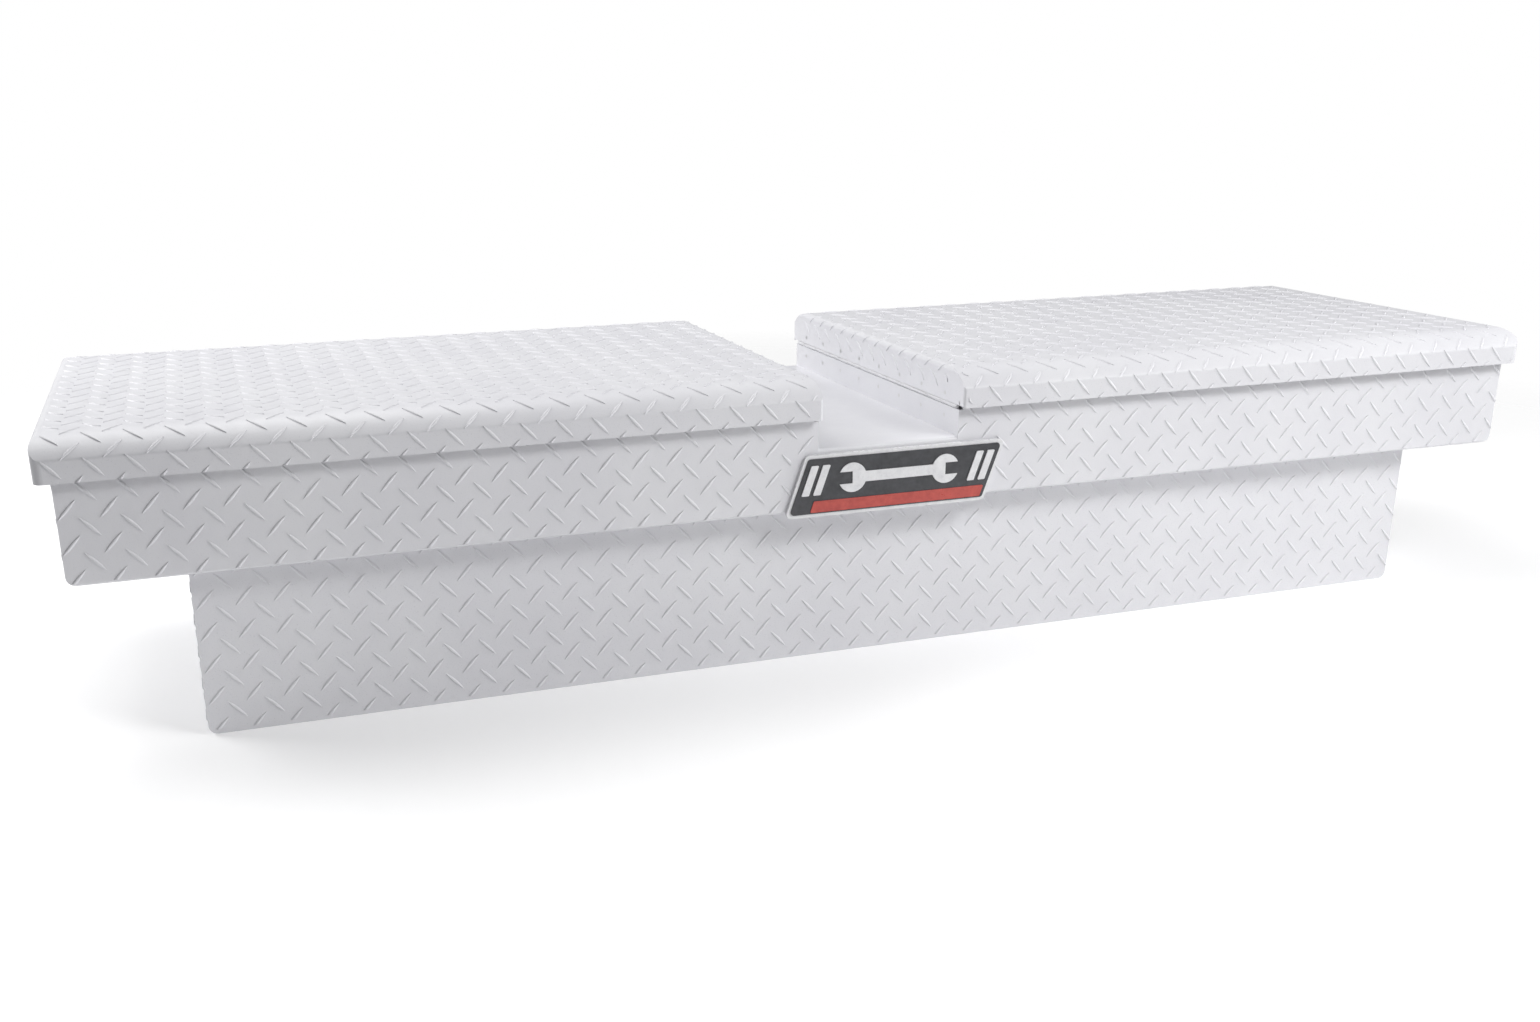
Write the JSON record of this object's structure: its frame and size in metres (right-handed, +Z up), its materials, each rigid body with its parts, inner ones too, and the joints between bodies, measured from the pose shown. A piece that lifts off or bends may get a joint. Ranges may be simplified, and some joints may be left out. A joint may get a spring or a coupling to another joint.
{
  "type": "truck tool box",
  "caption": "Gull-wing crossover truck tool box: stepped tread-plate body with rail ledges, low centre channel, two side-opening lids and an end latch for each lid.",
  "frame": {"origin": "bottom centre of the whole box", "axes": "+X along the box towards its right end, +Y towards the rear (tailgate side view faces -Y), +Z up"},
  "size_m": [1.778, 0.514, 0.334],
  "materials": {
    "white_powder_coat": "satin",
    "zinc_steel": "satin",
    "stainless_latch": "satin",
    "hinge_steel": "satin",
    "rivet_aluminium": "satin",
    "polished_rod": "polished",
    "lock_chrome": "polished",
    "strut_black": "satin",
    "seal_rubber": "matte",
    "rail_foam": "matte",
    "closed_cell_foam": "matte",
    "badge_white": "gloss",
    "badge_charcoal": "gloss",
    "badge_red": "gloss"
  },
  "bodies": {
    "root": {"badge_field": "badge_charcoal", "badge_plate": "badge_white", "badge_stripe": "badge_red", "badge_symbol": "badge_white", "channel_pan": "white_powder_coat", "drain_plugs": "seal_rubber", "floor_panel": "white_powder_coat", "front_panel": "white_powder_coat", "left_bulb_seal": "seal_rubber", "left_channel_rivets": "rivet_aluminium", "left_end_panel": "white_powder_coat", "left_hinge_fixed_leaf": "hinge_steel", "left_hinge_pin": "hinge_steel", "left_latch_dish": "stainless_latch", "left_latch_housing": "zinc_steel", "left_latch_screws": "zinc_steel", "left_paddle_pin": "zinc_steel", "left_pawl_pin": "zinc_steel", "left_rim_frame": "white_powder_coat", "left_strut_foot_bracket": "zinc_steel", "rail_pads": "rail_foam", "rear_panel": "white_powder_coat", "right_bulb_seal": "seal_rubber", "right_channel_rivets": "rivet_aluminium", "right_end_panel": "white_powder_coat", "right_hinge_fixed_leaf": "hinge_steel", "right_hinge_pin": "hinge_steel", "right_latch_dish": "stainless_latch", "right_latch_housing": "zinc_steel", "right_latch_screws": "zinc_steel", "right_paddle_pin": "zinc_steel", "right_pawl_pin": "zinc_steel", "right_rim_frame": "white_powder_coat", "right_strut_foot_bracket": "zinc_steel"},
    "right_lid": {"right_lid_skin": "white_powder_coat", "right_lid_foam_core": "closed_cell_foam", "right_lid_inner_pan": "white_powder_coat", "right_hinge_lid_leaf": "hinge_steel", "right_lid_rivets": "rivet_aluminium", "right_strut_lid_bracket": "zinc_steel", "right_striker": "zinc_steel"},
    "right_strut_tube": {"right_strut_cylinder": "strut_black"},
    "right_strut_piston": {"right_strut_rod": "polished_rod"},
    "right_paddle": {"right_latch_paddle": "stainless_latch"},
    "right_lock": {"right_lock_cylinder": "lock_chrome"},
    "right_pawl": {"right_latch_pawl": "zinc_steel"},
    "left_lid": {"left_lid_skin": "white_powder_coat", "left_lid_foam_core": "closed_cell_foam", "left_lid_inner_pan": "white_powder_coat", "left_hinge_lid_leaf": "hinge_steel", "left_lid_rivets": "rivet_aluminium", "left_strut_lid_bracket": "zinc_steel", "left_striker": "zinc_steel"},
    "left_strut_tube": {"left_strut_cylinder": "strut_black"},
    "left_strut_piston": {"left_strut_rod": "polished_rod"},
    "left_paddle": {"left_latch_paddle": "stainless_latch"},
    "left_lock": {"left_lock_cylinder": "lock_chrome"},
    "left_pawl": {"left_latch_pawl": "zinc_steel"}
  },
  "joints": [
    {"name": "right_lid_hinge", "type": "hinge", "parent": "root", "child": "right_lid", "pos_m": [0.0873, 0, 0.2905], "axis": [0, -1, 0], "range_deg": [0, 80]},
    {"name": "right_strut_swing", "type": "hinge", "parent": "root", "child": "right_strut_tube", "pos_m": [0.1373, 0.214, 0.2505], "axis": [0, -1, 0], "range_deg": [0, 80.3]},
    {"name": "right_strut_travel", "type": "slide", "parent": "right_strut_tube", "child": "right_strut_piston", "axis": [0.9831, 0, 0.1829], "range_m": [0, 0.0825]},
    {"name": "right_paddle_pull", "type": "hinge", "parent": "root", "child": "right_paddle", "pos_m": [0.868, 0, 0.258], "axis": [0, -1, 0], "range_deg": [0, 25], "stiffness_Nm_per_rad": 0.6, "springref_deg": -17.19},
    {"name": "right_key_turn", "type": "hinge", "parent": "right_paddle", "child": "right_lock", "pos_m": [0.872, 0, 0.238], "axis": [1, 0, 0], "range_deg": [0, 90]},
    {"name": "right_pawl_swing", "type": "hinge", "parent": "root", "child": "right_pawl", "pos_m": [0.826, 0, 0.262], "axis": [0, 1, 0], "range_deg": [0, 24]},
    {"name": "left_lid_hinge", "type": "hinge", "parent": "root", "child": "left_lid", "pos_m": [-0.0873, 0, 0.2905], "axis": [0, 1, 0], "range_deg": [0, 80]},
    {"name": "left_strut_swing", "type": "hinge", "parent": "root", "child": "left_strut_tube", "pos_m": [-0.1373, 0.214, 0.2505], "axis": [0, 1, 0], "range_deg": [0, 80.3]},
    {"name": "left_strut_travel", "type": "slide", "parent": "left_strut_tube", "child": "left_strut_piston", "axis": [-0.9831, 0, 0.1829], "range_m": [0, 0.0825]},
    {"name": "left_paddle_pull", "type": "hinge", "parent": "root", "child": "left_paddle", "pos_m": [-0.868, 0, 0.258], "axis": [0, 1, 0], "range_deg": [0, 25], "stiffness_Nm_per_rad": 0.6, "springref_deg": -17.19},
    {"name": "left_key_turn", "type": "hinge", "parent": "left_paddle", "child": "left_lock", "pos_m": [-0.872, 0, 0.238], "axis": [-1, 0, 0], "range_deg": [0, 90]},
    {"name": "left_pawl_swing", "type": "hinge", "parent": "root", "child": "left_pawl", "pos_m": [-0.826, 0, 0.262], "axis": [0, -1, 0], "range_deg": [0, 24]}
  ],
  "couplings": [
    {"joint": "right_strut_swing", "follows": "right_lid_hinge", "ratio": 1.0025},
    {"joint": "right_strut_travel", "follows": "right_lid_hinge", "m_per_rad": 0.058951},
    {"joint": "right_pawl_swing", "follows": "right_paddle_pull", "ratio": 0.96},
    {"joint": "left_strut_swing", "follows": "left_lid_hinge", "ratio": 1.0025},
    {"joint": "left_strut_travel", "follows": "left_lid_hinge", "m_per_rad": 0.058951},
    {"joint": "left_pawl_swing", "follows": "left_paddle_pull", "ratio": 0.96}
  ]
}
